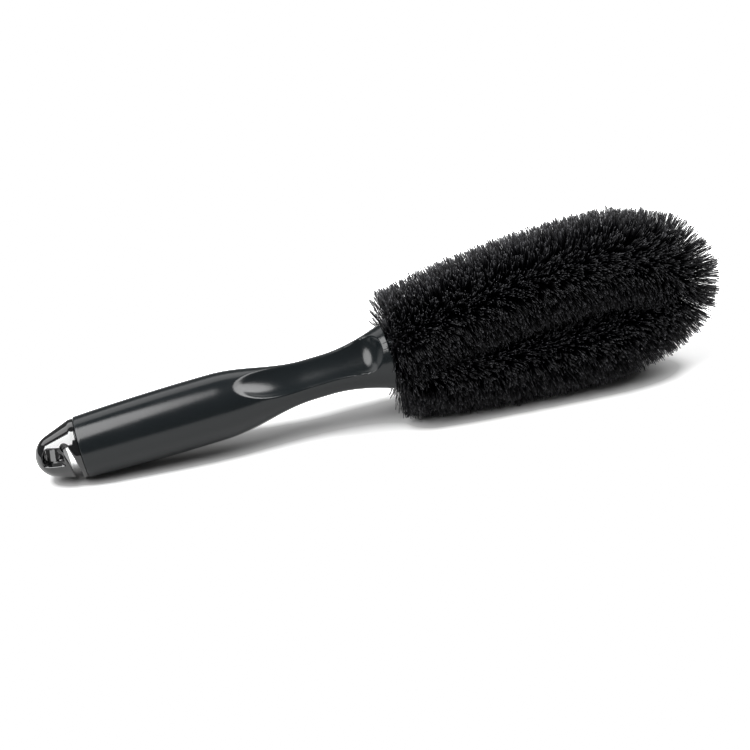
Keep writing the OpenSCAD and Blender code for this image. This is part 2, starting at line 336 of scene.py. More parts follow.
def build_handle(sizes, cap_length, material):
    """The hollow handle: bore, rounded back edge, skin with two recesses, and the mouth."""
    turn = np.linspace(0, 2 * pi, HANDLE_SIDES, endpoint=False)
    rows = handle_rows(sizes, cap_length)
    skin = handle_radius(rows, sizes)[:, None] * np.ones(HANDLE_SIDES)
    for side in (0, pi):
        hollow = recess_distance(rows[:, None], turn - sizes.recess_turn + side, sizes)
        skin = smooth_min(skin, hollow, sizes.lip)
    socket = handle_radius(cap_length, sizes) - sizes.wall
    wide = sizes.grip_d / 2 - sizes.wall
    step_x = cap_length + SOCKET_LEN
    bore = np.array([[BORE_END_X, wide - BORE_END_DROP],
                     [BORE_END_X - BORE_END_LEN, wide - BORE_SHOULDER_DROP],
                     [GRIP_FULL_X, wide], [step_x + SOCKET_STEP_LEN, wide],
                     [step_x, socket], [cap_length, socket]])
    back = round_edge(cap_length + HANDLE_EDGE, skin[0, 0] - HANDLE_EDGE, 180, 90)
    front = round_edge(sizes.length - HANDLE_EDGE, skin[-1, 0] - HANDLE_EDGE, 90, 0)
    mouth = np.array([[sizes.length, COLLAR_R], [sizes.length - COLLAR_LEN, COLLAR_R]])

    def turned(outline):
        return outline[:, :1] * np.ones(HANDLE_SIDES), outline[:, 1:] * np.ones(HANDLE_SIDES)

    parts = [turned(bore), turned(back[:-1]), (rows[:, None] * np.ones(HANDLE_SIDES), skin),
             turned(front[1:]), turned(mouth)]
    x = np.concatenate([p[0] for p in parts])
    r = np.concatenate([p[1] for p in parts])
    rings = np.stack((x, -r * np.cos(turn), r * np.sin(turn)), -1)
    return add_piece("handle_shell", on_bench(rings), sides_of(rings), material,
                     ["handle"], sharp=radians(45))


# ---------------------------------------------------------------------------------------------
# End cap

CONE_SLOPE = radians(90 - 69.6)
PLUG_WALL = 1.55 * MM
PLUG_LEN = 13 * MM
PLUG_FLOOR_X = 16.8 * MM
# The slot follows an arc about a centre behind the brush, from below the cap up to a round end.
SLOT_BEND_R = 33.5 * MM
SLOT_CENTRE = (-19.3 * MM, -6 * MM)
SLOT_FROM = radians(-14)
SLOT_TO = radians(19.9)
# The round hole grows flat-sided from here outwards, and its corners get tighter on the way.
MOUTH_START_Y = 4.2 * MM
MOUTH_RUN = 2.2 * MM
MOUTH_CORNER_LOSS = 1.9 * MM
# How widely two faces blend where they meet.
COLLAR_BLEND = 0.2 * MM
INNER_BLEND = 0.3 * MM
EDGE_BLEND = 0.6 * MM


def hole_and_slot_distance(points, sizes):
    """Distance of points from the hang hole and the slot, below 0 inside them."""
    x, y, z = np.moveaxis(points, -1, 0)
    up = z - HOLE_RISE
    across = y * cos(sizes.hole_turn) + up * sin(sizes.hole_turn)
    up = up * cos(sizes.hole_turn) - y * sin(sizes.hole_turn)
    flat = np.clip((np.abs(across) - MOUTH_START_Y) / MOUTH_RUN, 0, 1)
    flat = flat * flat * (3 - 2 * flat)
    hole_r = sizes.hole_d / 2
    half = hole_r + (sizes.mouth - sizes.hole_d) / 2 * flat
    corner = hole_r - MOUTH_CORNER_LOSS * flat
    out_x = np.abs(x - HOLE_X) - (half - corner)
    out_up = np.abs(up) - (hole_r - corner)
    hole = (np.hypot(np.maximum(out_x, 0), np.maximum(out_up, 0))
            + np.minimum(np.maximum(out_x, out_up), 0) - corner)
    dx, dz = x - SLOT_CENTRE[0], z - SLOT_CENTRE[1]
    past = np.hypot(dx - SLOT_BEND_R * cos(SLOT_TO), dz - SLOT_BEND_R * sin(SLOT_TO))
    beside = np.abs(np.hypot(dx, dz) - SLOT_BEND_R)
    slot = np.where(np.arctan2(dz, dx) > SLOT_TO, past, beside) - sizes.slot_w / 2
    return smooth_min(hole, slot, INNER_BLEND)


def cap_distance(points, sizes, plug_r):
    """Distance of points from the cap's surface, below 0 inside it."""
    x, y, z = np.moveaxis(points, -1, 0)
    r = np.hypot(y, z)
    ahead = x - sizes.nose_r
    ball = np.hypot(ahead, r) - sizes.nose_r
    cone = r * cos(CONE_SLOPE) - ahead * sin(CONE_SLOPE) - sizes.nose_r
    nose = np.where(ahead * cos(CONE_SLOPE) + r * sin(CONE_SLOPE) < 0, ball, cone)
    shell = smooth_max(nose, r - sizes.collar_d / 2, COLLAR_BLEND)
    shell = smooth_max(shell, x - sizes.length, EDGE_BLEND)
    plug = np.maximum(r - plug_r, x - sizes.length - PLUG_LEN)
    hollow = np.maximum(r - plug_r + PLUG_WALL, PLUG_FLOOR_X - x)
    plug = np.maximum(plug, PLUG_FLOOR_X - x)
    solid = smooth_max(np.minimum(shell, plug), -hollow, INNER_BLEND)
    return smooth_max(solid, -hole_and_slot_distance(points, sizes), EDGE_BLEND)


PROBE = 0.01 * MM
LEAST_RATE = 0.2


def slope(points, distance):
    """Which way a distance grows fastest at each point, as a unit vector, and how fast."""
    steps = [np.eye(3)[i] * PROBE for i in range(3)]
    grown = np.stack([(distance(points + step) - distance(points - step)) / (2 * PROBE)
                      for step in steps], -1)
    rate = np.maximum(np.linalg.norm(grown, axis=-1, keepdims=True), LEAST_RATE)
    return grown / rate, rate


CUTTER_HALF = 25 * MM


def add_cutter(piece, outline, middle, turn):
    """Cuts an outline right across a piece, and gives back the solid that cuts it."""
    x, z = outline[:, 0] + middle[0], outline[:, 1]
    ends = [np.stack((x, y * cos(turn) - z * sin(turn),
                      middle[1] + y * sin(turn) + z * cos(turn)), -1)
            for y in (CUTTER_HALF, -CUTTER_HALF)]
    mesh = bpy.data.meshes.new("end_cap_cutter")
    mesh.from_pydata(np.concatenate(ends), [], sides_of(np.stack(ends)))
    cutter = bpy.data.objects.new("end_cap_cutter", mesh)
    bpy.context.scene.collection.objects.link(cutter)
    cut = piece.modifiers.new("cut", "BOOLEAN")
    cut.operation = "DIFFERENCE"
    cut.object = cutter
    cut.solver = "EXACT"
    return cutter


# Corners of the block's nose, in millimetres along the handle and out from its axis. They only
# have to lie near the true surface.
BLOCK_NOSE = ((0.05, 0.8), (1, 4), (3, 6.4), (5.4, 7.8), (15.2, 11.4))
BLOCK_SIDES = 96
SLOT_STEPS = 24
PLUG_GAP = 0.05 * MM
PASSES = 4


def add_cap_block(sizes, plug_r):
    """A rough block of the cap with its plug, without the openings."""
    end = sizes.length + PLUG_LEN
    nose = [[x * MM, r * MM] for x, r in BLOCK_NOSE]
    outline = np.array(nose + [[sizes.length, sizes.collar_d / 2], [sizes.length, plug_r],
                               [end, plug_r], [end, plug_r - PLUG_WALL],
                               [PLUG_FLOOR_X, plug_r - PLUG_WALL]])
    turn = np.linspace(0, 2 * pi, BLOCK_SIDES, endpoint=False)
    rings = np.stack((outline[:, :1] * np.ones(BLOCK_SIDES), -outline[:, 1:] * np.cos(turn),
                      outline[:, 1:] * np.sin(turn)), -1)
    block = bpy.data.meshes.new("end_cap_block")
    block.from_pydata(rings.reshape(-1, 3), [], sides_of(rings))
    piece = bpy.data.objects.new("end_cap_shell", block)
    bpy.context.scene.collection.objects.link(piece)
    return piece


def add_cap_cutters(piece, sizes):
    """Cuts the hang hole and the slot out of the block."""
    turn = np.linspace(0, 2 * pi, BLOCK_SIDES, endpoint=False)
    hole = np.stack((sizes.hole_d / 2 * np.cos(turn), sizes.hole_d / 2 * np.sin(turn)), -1)
    bend = np.linspace(SLOT_FROM, SLOT_TO, SLOT_STEPS)[:, None]
    arc = np.concatenate((np.cos(bend), np.sin(bend)), 1)
    slot = np.concatenate((arc * (SLOT_BEND_R + sizes.slot_w / 2),
                           arc[::-1] * (SLOT_BEND_R - sizes.slot_w / 2)))
    return [add_cutter(piece, hole, (HOLE_X, HOLE_RISE), sizes.hole_turn),
            add_cutter(piece, slot, SLOT_CENTRE, 0)]


def remeshed(piece, grain):
    """The mesh of a piece after its cuts, divided into even facets."""
    fine = piece.modifiers.new("facets", "REMESH")
    fine.mode = "VOXEL"
    fine.voxel_size = grain
    ready = piece.evaluated_get(bpy.context.evaluated_depsgraph_get())
    mesh = bpy.data.meshes.new_from_object(ready)
    piece.modifiers.clear()
    return mesh


def build_cap(sizes, handle, material):
    """The polished cap: a rough block is remeshed finely and drawn onto the cap's true surface."""
    plug_r = handle_radius(sizes.length, handle) - handle.wall - PLUG_GAP
    piece = add_cap_block(sizes, plug_r)
    cutters = add_cap_cutters(piece, sizes)
    mesh = remeshed(piece, sizes.grain)
    for cutter in cutters:
        bpy.data.objects.remove(cutter)
    points = np.empty(len(mesh.vertices) * 3)
    mesh.vertices.foreach_get("co", points)
    points = points.reshape(-1, 3)

    def distance(at):
        return cap_distance(at, sizes, plug_r)

    for _ in range(PASSES):
        way, rate = slope(points, distance)
        short = np.clip(distance(points)[:, None] / rate, -sizes.grain, sizes.grain)
        points = points - way * short
    normals = slope(points, distance)[0]
    mesh.vertices.foreach_set("co", on_bench(points).ravel())
    mesh.polygons.foreach_set("use_smooth", np.ones(len(mesh.polygons), bool))
    mesh.update()
    # Normals are turned as the brush is, but not moved.
    turned = on_bench(normals) - np.array(NOSE)
    mesh.normals_split_custom_set_from_vertices(turned)
    mesh.materials.append(material)
    piece.data = mesh
    stand_for(piece, ["end_cap"])
    return piece


# ---------------------------------------------------------------------------------------------
# Wire loop

STEM_HALF = 1.85 * MM
STEM_END_X = 113 * MM
STEM_BEND_X = 128 * MM
STRAND_GAP = 0.03 * MM


class Loop:
    """The line of the twisted wire: two stems, two long arcs, two shoulders and a tight end."""

    def __init__(self, sizes):
        run_len = sizes.wide_x - STEM_BEND_X
        self.sizes = sizes
        self.run_turn = 2 * atan((sizes.half - STEM_HALF) / run_len)
        self.run_r = run_len / sin(self.run_turn)
        self.end_x = sizes.end_x - sizes.end_r
        end_len = self.end_x - sizes.wide_x
        self.shoulder_turn = 2 * atan((sizes.half - sizes.end_r) / end_len)
        self.shoulder_r = sizes.end_r + end_len / sin(self.shoulder_turn)
        self.stem = STEM_BEND_X - STEM_END_X
        self.run = self.stem + self.run_r * self.run_turn
        self.shoulder = self.run + self.shoulder_r * self.shoulder_turn
        self.half = self.shoulder + sizes.end_r * (pi / 2 - self.shoulder_turn)

    def at(self, s):
        """Points, directions along the wire and directions out of the loop at lengths s."""
        s = np.asarray(s, float)
        lower = s > self.half
        u = np.where(lower, 2 * self.half - s, s)
        sizes = self.sizes
        arcs = [(sizes.wide_x, sizes.half - self.run_r, self.run_r,
                 self.run_turn - (u - self.stem) / self.run_r),
                (sizes.wide_x, sizes.half - self.shoulder_r, self.shoulder_r,
                 -(u - self.run) / self.shoulder_r),
                (self.end_x, 0, sizes.end_r, (self.half - u) / sizes.end_r - pi / 2)]
        x = [x0 - r * np.sin(h) for x0, z0, r, h in arcs]
        z = [z0 + r * np.cos(h) for x0, z0, r, h in arcs]
        parts = [u <= self.stem, u <= self.run, u <= self.shoulder]
        heading = np.select(parts, [0 * u, arcs[0][3], arcs[1][3]], arcs[2][3])
        x = np.select(parts, [STEM_END_X + u, x[0], x[1]], x[2])
        z = np.select(parts, [STEM_HALF + 0 * u, z[0], z[1]], z[2])
        flip = np.where(lower, -1, 1)
        zero = 0 * u
        point = np.stack((x, zero, flip * z), -1)
        along = np.stack((flip * np.cos(heading), zero, np.sin(heading)), -1)
        out = np.stack((-np.sin(heading), zero, flip * np.cos(heading)), -1)
        return point, along, out


STRAND_SIDES = 12
STRAND_RINGS_PER_TURN = 24


def build_strand(name, start, loop, handle_length, material):
    """One strand of the twisted pair, from stem to stem."""
    sizes = loop.sizes
    count = int(2 * loop.half / sizes.pitch * STRAND_RINGS_PER_TURN)
    s = np.linspace(0, 2 * loop.half, count)
    point, _, out = loop.at(s)
    twist = (start + 2 * pi * s / sizes.pitch)[:, None]
    turn = np.linspace(0, 2 * pi, STRAND_SIDES, endpoint=False)
    twist_r = sizes.wire_d / 2 + STRAND_GAP
    up = twist_r * np.cos(twist) + sizes.wire_d / 2 * np.cos(turn)
    across = twist_r * np.sin(twist) + sizes.wire_d / 2 * np.sin(turn)
    rings = point[:, None] + out[:, None] * up[..., None] + ACROSS * across[..., None]
    return add_piece(name + "_fine", on_bench(sagged(rings, handle_length)), sides_of(rings),
                     material, [name], sharp=radians(60))


# ---------------------------------------------------------------------------------------------
# Bristles

BRISTLE_START_X = 141.6 * MM
GROUPS = 6
SEGMENTS = 3
SPREAD = radians(42)
LEAN = radians(4)
LENGTH_SPREAD = 0.7 * MM
# The tips stand ragged about the outline of the packed solids.
EXTRA_REACH = 0.9 * MM
# Near the handle the filaments stand up square to it, and those at the sides lean back over
# its flare.
ROOT_LEN = 12 * MM
ROOT_POWER = 1.5
ROOT_SPLAY = radians(10)
# Tips drift aside together in waves, scatter one by one, and are drawn into small tufts.
DRIFT = 0.8 * MM
DRIFT_WAVES = 9
DRIFT_LENGTHS = (5 * MM, 14 * MM)
SCATTER = 1.1 * MM
TUFT = 6
TUFT_PULL = 0.3
TIPS_AT_ONCE = 500
# No filament goes into the flare or the bench.
FLARE_CLEAR = 0.3 * MM
FLARE_REACH = 13.3 * MM
BENCH_GAP = 0.15 * MM
BENCH_RAGGED = 0.4 * MM


def root_length(loop):
    """Length of wire before the first bristle."""
    return loop.run - asin((loop.sizes.wide_x - BRISTLE_START_X) / loop.run_r) * loop.run_r


def bristle_spans(loop):
    """Which stretch of the wire holds each group of bristles."""
    root = root_length(loop)
    step = (loop.run - root) / GROUPS
    spans = {}
    for i in range(GROUPS):
        spans[f"bristles_upper_{i + 1}"] = (root + i * step, root + (i + 1) * step)
    spans["bristles_shoulder_upper"] = (loop.run, loop.shoulder)
    spans["bristles_tip"] = (loop.shoulder, 2 * loop.half - loop.shoulder)
    spans["bristles_shoulder_lower"] = (2 * loop.half - loop.shoulder, 2 * loop.half - loop.run)
    for i in reversed(range(GROUPS)):
        spans[f"bristles_lower_{i + 1}"] = (2 * loop.half - root - (i + 1) * step,
                                            2 * loop.half - root - i * step)
    return spans


def waves(rng, count, shortest, longest):
    """Makes a smooth random field over space from a few crossing waves."""
    way = rng.normal(size=(count, 3))
    way /= np.linalg.norm(way, axis=1, keepdims=True)
    way *= 2 * pi / rng.uniform(shortest, longest, (count, 1))
    phase = rng.uniform(0, 2 * pi, count)

    def field(points):
        return np.sin(points @ way.T + phase).sum(1) / np.sqrt(count / 2)

    return field


def way_to_tuft(tips, rng):
    """For each tip, the way to the middle of the tuft that it falls in."""
    picked = rng.choice(len(tips), max(1, len(tips) // TUFT), replace=False)
    centres = tips[picked]
    nearest = np.concatenate([
        np.argmin(((part[:, None] - centres) ** 2).sum(-1), 1)
        for part in np.array_split(tips, 1 + len(tips) // TIPS_AT_ONCE)])
    total = np.zeros_like(centres)
    np.add.at(total, nearest, tips)
    number = np.bincount(nearest, minlength=len(centres))
    middle = total / np.maximum(number, 1)[:, None]
    return middle[nearest] - tips


def set_filaments(span, loop, sizes, rng, fields):
    """Where each filament of a group starts, how it reaches out, and how its tip bends aside."""
    count = int(sizes.per_mm * (span[1] - span[0]) / MM)
    s = span[0] + (np.arange(count) + rng.uniform(0, 1, count)) / count * (span[1] - span[0])
    point, _, out = loop.at(s)
    from_root = np.minimum(s, 2 * loop.half - s) - root_length(loop)
    square = np.clip(1 - from_root / ROOT_LEN, 0, 1)[:, None] ** ROOT_POWER
    upright = np.stack((np.zeros(count), np.zeros(count), np.sign(out[:, 2])), -1)
    out = out + (upright - out) * square
    out /= np.linalg.norm(out, axis=1, keepdims=True)
    along = np.cross(ACROSS, out)
    turn = (2 * pi * s / loop.sizes.pitch + pi * rng.integers(0, 2, count)
            + rng.normal(0, SPREAD, count))
    radial = out * np.cos(turn)[:, None] + ACROSS * np.sin(turn)[:, None]
    sideways = np.cross(along, radial)
    splay = np.abs(np.sin(turn))[:, None] * ROOT_SPLAY
    lean = rng.normal(0, LEAN, count)[:, None] - splay * square
    forward = along * np.sign(along[:, :1])
    way = radial * np.cos(lean) + forward * np.sin(lean)
    reach = sizes.reach + EXTRA_REACH + rng.normal(0, LENGTH_SPREAD, count)
    tips = point + way * reach[:, None]
    drift = along * fields[0](tips)[:, None] + sideways * fields[1](tips)[:, None]
    bend = drift * DRIFT + rng.normal(0, SCATTER, (count, 3))
    bend += way_to_tuft(tips + bend, rng) * TUFT_PULL
    bend -= way * (bend * way).sum(1)[:, None]
    return point, way * reach[:, None], bend


def bent_lines(point, reach, bend, handle_length, filament_d, rng):
    """Points along each filament as it lies, clear of the flare and of the bench."""
    t = np.linspace(0, 1, SEGMENTS + 1)
    lines = (point[:, None] + reach[:, None] * t[None, :, None]
             + bend[:, None] * (t ** 2)[None, :, None])
    behind = np.maximum(handle_length + FLARE_CLEAR - lines[..., 0], 0)
    inside = np.hypot(lines[..., 1], lines[..., 2]) < FLARE_REACH
    lines[..., 0] += np.where(inside, behind, 0)
    lines = on_bench(sagged(lines, handle_length))
    floor = BENCH_GAP + filament_d / 2 + rng.uniform(0, BENCH_RAGGED, len(lines))
    sunk = np.maximum(floor - lines[:, -1, 2], 0)
    lines[..., 2] += sunk[:, None] * t ** 2
    return lines


def three_sided(lines, radius, rng):
    """Points and faces of a thin three-sided rod along each line, and how many faces are sides."""
    count = len(lines)
    line = lines[:, -1] - lines[:, 0]
    line /= np.linalg.norm(line, axis=1, keepdims=True)
    one = np.cross(line, rng.normal(size=(count, 3)))
    one /= np.linalg.norm(one, axis=1, keepdims=True)
    other = np.cross(line, one)
    turn = np.array([0, 2, 4]) * pi / 3
    ring = one[:, None] * np.cos(turn)[:, None] + other[:, None] * np.sin(turn)[:, None]
    points = lines[:, :, None] + ring[:, None] * radius
    first = np.arange(count)[:, None, None] * 3 * (SEGMENTS + 1)
    step = np.arange(SEGMENTS)[:, None] * 3
    here, beside = first + step + np.arange(3), first + step + (np.arange(3) + 1) % 3
    sides = np.stack((here, beside, beside + 3, here + 3), -1).reshape(-1, 4).tolist()
    roots = (first[:, 0] + [2, 1, 0]).tolist()
    ends = (first[:, 0] + 3 * SEGMENTS + [0, 1, 2]).tolist()
    return points, sides + roots + ends, len(sides)


def build_bristles(name, span, loop, sizes, handle_length, rng, fields, material):
    """One group of filaments, each pinched between the strands and reaching out from them."""
    point, reach, bend = set_filaments(span, loop, sizes, rng, fields)
    lines = bent_lines(point, reach, bend, handle_length, sizes.filament_d, rng)
    points, faces, sides = three_sided(lines, sizes.filament_d / 2, rng)
    piece = add_piece(name + "_filaments", points, faces, material, [name])
    piece.data.polygons.foreach_set("use_smooth", np.arange(len(faces)) < sides)
    along = np.repeat(np.tile(np.linspace(0, 1, SEGMENTS + 1), len(lines)), 3)
    # Which ends carry the painted glint and how much, and how glossy each filament is; few ends are
    # as light as they can be.
    shade = np.repeat(rng.uniform(0, 1, len(lines)) ** 2, 3 * (SEGMENTS + 1))
    for label, values in (("along", along), ("shade", shade)):
        layer = piece.data.attributes.new(label, "FLOAT", "POINT")
        layer.data.foreach_set("value", values)
    return piece


# ---------------------------------------------------------------------------------------------
# Materials

def add_node(tree, kind, inputs=None, **settings):
    """Adds a node with its settings, and sets or links its inputs."""
    made = tree.nodes.new(kind)
    for name, value in settings.items():
        setattr(made, name, value)
    for name, value in (inputs or {}).items():
        if isinstance(value, bpy.types.NodeSocket):
            tree.links.new(value, made.inputs[name])
        else:
            made.inputs[name].default_value = value
    return made


def new_material(name):
    """An empty material and the tree of its nodes."""
    material = bpy.data.materials.new(name)
    material.use_nodes = True
    material.node_tree.nodes.clear()
    return material, material.node_tree


def finish_material(tree, inputs):
    """Adds the shader and its output."""
    shader = add_node(tree, "ShaderNodeBsdfPrincipled", inputs)
    add_node(tree, "ShaderNodeOutputMaterial", {"Surface": shader.outputs["BSDF"]})


def satin_polypropylene(colours):
    """Polypropylene from a spark-eroded mould: satin, so it shows a broad soft band of light, and
    a fine grain breaks the band up."""
    material, tree = new_material("moulded_polypropylene_satin")
    place = add_node(tree, "ShaderNodeTexCoord").outputs["Object"]
    # The real grain is about 0.1 mm. It is drawn at 0.4 mm, or it would not show.
    grain = add_node(tree, "ShaderNodeTexNoise", {"Vector": place, "Scale": 1 / (0.4 * MM),
                                                  "Detail": 3.0, "Roughness": 0.6})
    flow = add_node(tree, "ShaderNodeTexNoise", {"Vector": place, "Scale": 1 / (14 * MM),
                                                 "Detail": 2.0})
    tone = add_node(tree, "ShaderNodeMix",
                    {0: grain.outputs["Fac"], 6: colours.handle,
                     7: shaded(colours.handle, 1.4)}, data_type="RGBA")
    rough = add_node(tree, "ShaderNodeMapRange",
                     {"Value": flow.outputs["Fac"], "From Min": 0.3, "From Max": 0.7,
                      "To Min": 0.15, "To Max": 0.21})
    bump = add_node(tree, "ShaderNodeBump", {"Height": grain.outputs["Fac"], "Strength": 0.6,
                                             "Distance": 0.03 * MM})
    finish_material(tree, {"Base Color": tone.outputs[2], "Roughness": rough.outputs["Result"],
                           "Normal": bump.outputs["Normal"], "IOR": 1.49})
    return material


def polished_abs(colours):
    """ABS from a polished mould under clear lacquer: a mirror-like black whose reflections wander
    a little, because the wall sinks unevenly as it cools."""
    material, tree = new_material("moulded_abs_polished")
    place = add_node(tree, "ShaderNodeTexCoord").outputs["Object"]
    sink = add_node(tree, "ShaderNodeTexNoise", {"Vector": place, "Scale": 1 / (5 * MM),
                                                 "Detail": 1.0})
    dust = add_node(tree, "ShaderNodeTexNoise", {"Vector": place, "Scale": 1 / (0.5 * MM),
                                                 "Detail": 2.0})
    tone = add_node(tree, "ShaderNodeMix",
                    {0: dust.outputs["Fac"], 6: colours.cap,
                     7: shaded(colours.cap, 1.5)}, data_type="RGBA")
    rough = add_node(tree, "ShaderNodeMapRange",
                     {"Value": dust.outputs["Fac"], "From Min": 0.35, "From Max": 0.75,
                      "To Min": 0.06, "To Max": 0.1})
    bump = add_node(tree, "ShaderNodeBump", {"Height": sink.outputs["Fac"], "Strength": 0.3,
                                             "Distance": 0.12 * MM})
    finish_material(tree, {"Base Color": tone.outputs[2], "Roughness": rough.outputs["Result"],
                           "Normal": bump.outputs["Normal"], "IOR": 1.54, "Coat Weight": 1.0,
                           "Coat Roughness": 0.04, "Coat IOR": 1.5})
    return material


def dull_polyethylene(colours):
    """Polyethylene disc from a plain mould: waxy and dull, with a soft mottle."""
    material, tree = new_material("moulded_polyethylene_dull")
    place = add_node(tree, "ShaderNodeTexCoord").outputs["Object"]
    mottle = add_node(tree, "ShaderNodeTexNoise", {"Vector": place, "Scale": 1 / (0.8 * MM),
                                                   "Detail": 3.0})
    tone = add_node(tree, "ShaderNodeMix",
                    {0: mottle.outputs["Fac"], 6: colours.collar,
                     7: shaded(colours.collar, 1.6)}, data_type="RGBA")
    bump = add_node(tree, "ShaderNodeBump", {"Height": mottle.outputs["Fac"], "Strength": 0.3,
                                             "Distance": 0.05 * MM})
    finish_material(tree, {"Base Color": tone.outputs[2], "Normal": bump.outputs["Normal"],
                           "Roughness": 0.5, "IOR": 1.51})
    return material


def crimped_aluminium(colours):
    """Aluminium tube squeezed in a crimping die: bright, with bands that the die's teeth left."""
    material, tree = new_material("crimped_aluminium")
    place = add_node(tree, "ShaderNodeTexCoord").outputs["Object"]
    scuff = add_node(tree, "ShaderNodeTexNoise", {"Vector": place, "Scale": 1 / (0.6 * MM),
                                                  "Detail": 4.0})
    # The die's teeth stand 1.5 mm apart. A wave's bands repeat every 2 pi / 20 of its scale.
    teeth = add_node(tree, "ShaderNodeTexWave",
                     {"Vector": place, "Scale": 2 * pi / 20 / (1.5 * MM), "Distortion": 0.4})
    rough = add_node(tree, "ShaderNodeMapRange",
                     {"Value": scuff.outputs["Fac"], "To Min": 0.24, "To Max": 0.42})
    tone = add_node(tree, "ShaderNodeMix",
                    {0: scuff.outputs["Fac"], 6: colours.sleeve,
                     7: shaded(colours.sleeve, 0.7)}, data_type="RGBA")
    bump = add_node(tree, "ShaderNodeBump", {"Height": teeth.outputs["Fac"], "Strength": 0.8,
                                             "Distance": 0.2 * MM})
    finish_material(tree, {"Base Color": tone.outputs[2], "Roughness": rough.outputs["Result"],
                           "Normal": bump.outputs["Normal"], "Metallic": 1.0})
    return material


def galvanised_steel(colours):
    """Steel wire dipped in zinc and drawn: grey and half bright, with a crystal mottle."""
    material, tree = new_material("galvanised_steel_wire")
    place = add_node(tree, "ShaderNodeTexCoord").outputs["Object"]
    # Zinc crystals on wire are about 0.5 mm across.
    crystals = add_node(tree, "ShaderNodeTexVoronoi", {"Vector": place, "Scale": 1 / (0.5 * MM)})
    tone = add_node(tree, "ShaderNodeMix",
                    {0: crystals.outputs["Distance"], 6: colours.wire,
                     7: shaded(colours.wire, 0.6)}, data_type="RGBA")
    rough = add_node(tree, "ShaderNodeMapRange",
                     {"Value": crystals.outputs["Distance"], "To Min": 0.3, "To Max": 0.48})
    finish_material(tree, {"Base Color": tone.outputs[2], "Roughness": rough.outputs["Result"],
                           "Metallic": 1.0})
    return material


def drawn_filament(colours):
    """Polypropylene filament drawn through a die and cut: black with a silky line of light. The cut
    ends are a little lighter in any light, and a painted glint is added on them, on some more than
    others, so the head looks finely speckled."""
    material, tree = new_material("drawn_polypropylene_filament")
    along = add_node(tree, "ShaderNodeAttribute", attribute_name="along")
    shade = add_node(tree, "ShaderNodeAttribute", attribute_name="shade")
    # The power keeps the painted glint colour to the last 0.5 mm.
    tip_glint = add_node(tree, "ShaderNodeMath", {0: along.outputs["Fac"], 1: 30.0}, operation="POWER")
    glint_share = add_node(tree, "ShaderNodeMath", {0: tip_glint.outputs[0], 1: shade.outputs["Fac"]},
                     operation="MULTIPLY")
    tone = add_node(tree, "ShaderNodeMix",
                    {0: glint_share.outputs[0], 6: colours.bristle, 7: colours.tips}, data_type="RGBA")
    rough = add_node(tree, "ShaderNodeMapRange",
                     {"Value": shade.outputs["Fac"], "To Min": 0.36, "To Max": 0.28})
    finish_material(tree, {"Base Color": tone.outputs[2], "Roughness": rough.outputs["Result"],
                           "IOR": 1.49, "Specular IOR Level": 0.2})
    return material


def matt_paper(colours):
    """Paper pressed from bleached pulp: matt and pale, with a faint mottle and no shine."""
    material, tree = new_material("studio_paper")
    place = add_node(tree, "ShaderNodeTexCoord").outputs["Object"]
    pulp = add_node(tree, "ShaderNodeTexNoise", {"Vector": place, "Scale": 1 / (2 * MM)})
    tone = add_node(tree, "ShaderNodeMix",
                    {0: pulp.outputs["Fac"], 6: colours.floor,
                     7: shaded(colours.floor, 0.99)}, data_type="RGBA")
    finish_material(tree, {"Base Color": tone.outputs[2], "Roughness": 0.9,
                           "Specular IOR Level": 0.0})
    return material


# ---------------------------------------------------------------------------------------------
# Stage

HANDLE_MIDDLE = Vector((-70, 0, 20)) * MM
# From the middle of the brush to the point that the camera looks at.
AIM_OFFSET = Vector((-4.4, -2.5, -13.8)) * MM
SENSOR_WIDTH = 36
CLIP_START = 0.01
CLIP_END = 20


def add_camera(stage):
    """The camera, which looks down at the brush from its left."""
    low, high = (Vector(c) for c in cad_box)
    aim = (low + high) / 2 + AIM_OFFSET
    back = Vector((sin(stage.azimuth) * cos(stage.elevation),
                   -cos(stage.azimuth) * cos(stage.elevation), sin(stage.elevation)))
    camera = bpy.data.objects.new("camera", bpy.data.cameras.new("camera"))
    bpy.context.scene.collection.objects.link(camera)
    facing = back.to_track_quat("Z", "Y").to_matrix() @ Matrix.Rotation(stage.roll, 3, "Z")
    camera.matrix_world = Matrix.Translation(aim + back * stage.distance) @ facing.to_4x4()
    camera.data.lens = stage.lens
    camera.data.sensor_width = SENSOR_WIDTH
    camera.data.clip_start = CLIP_START
    camera.data.clip_end = CLIP_END
    bpy.context.scene.camera = camera


def add_softbox(name, leans, distance, wide, brightness, shape="ELLIPSE"):
    """A soft light that faces the handle. It leans to the right and to the back of overhead by
    two angles in degrees. Its distance and its two widths are in metres, and its brightness is
    that of its surface."""
    right, back = (radians(lean) for lean in leans)
    way = Vector((sin(right), sin(back) * cos(right), cos(back) * cos(right)))
    light = bpy.data.lights.new(name, "AREA")
    light.shape = shape
    light.size, light.size_y = wide
    area = wide[0] * wide[1] * (pi / 4 if shape == "ELLIPSE" else 1)
    light.energy = pi * area * brightness
    lamp = bpy.data.objects.new(name, light)
    turn = way.to_track_quat("Z", "Y").to_matrix().to_4x4()
    lamp.matrix_world = Matrix.Translation(HANDLE_MIDDLE + way * distance) @ turn
    bpy.context.scene.collection.objects.link(lamp)


def add_lights():
    """Two oval softboxes overhead and a wide, low one behind."""
    # The left one draws the band of light along the grip. The right one lights the thumb recess
    # where it starts in the grip's shoulder.
    add_softbox("softbox_left", (-33, -14), 1.6, (1.5, 1.75), 6.2)
    add_softbox("softbox_right", (43, 0), 1.76, (1.1, 1.4), 7.5)
    # The back one draws the thin line along the handle's upper edge, and lights the far walls of
    # the hang hole.
    add_softbox("softbox_back", (0, 45), 1.8, (4.0, 0.95), 1.4, shape="RECTANGLE")


FLOOR_HALF = 0.6


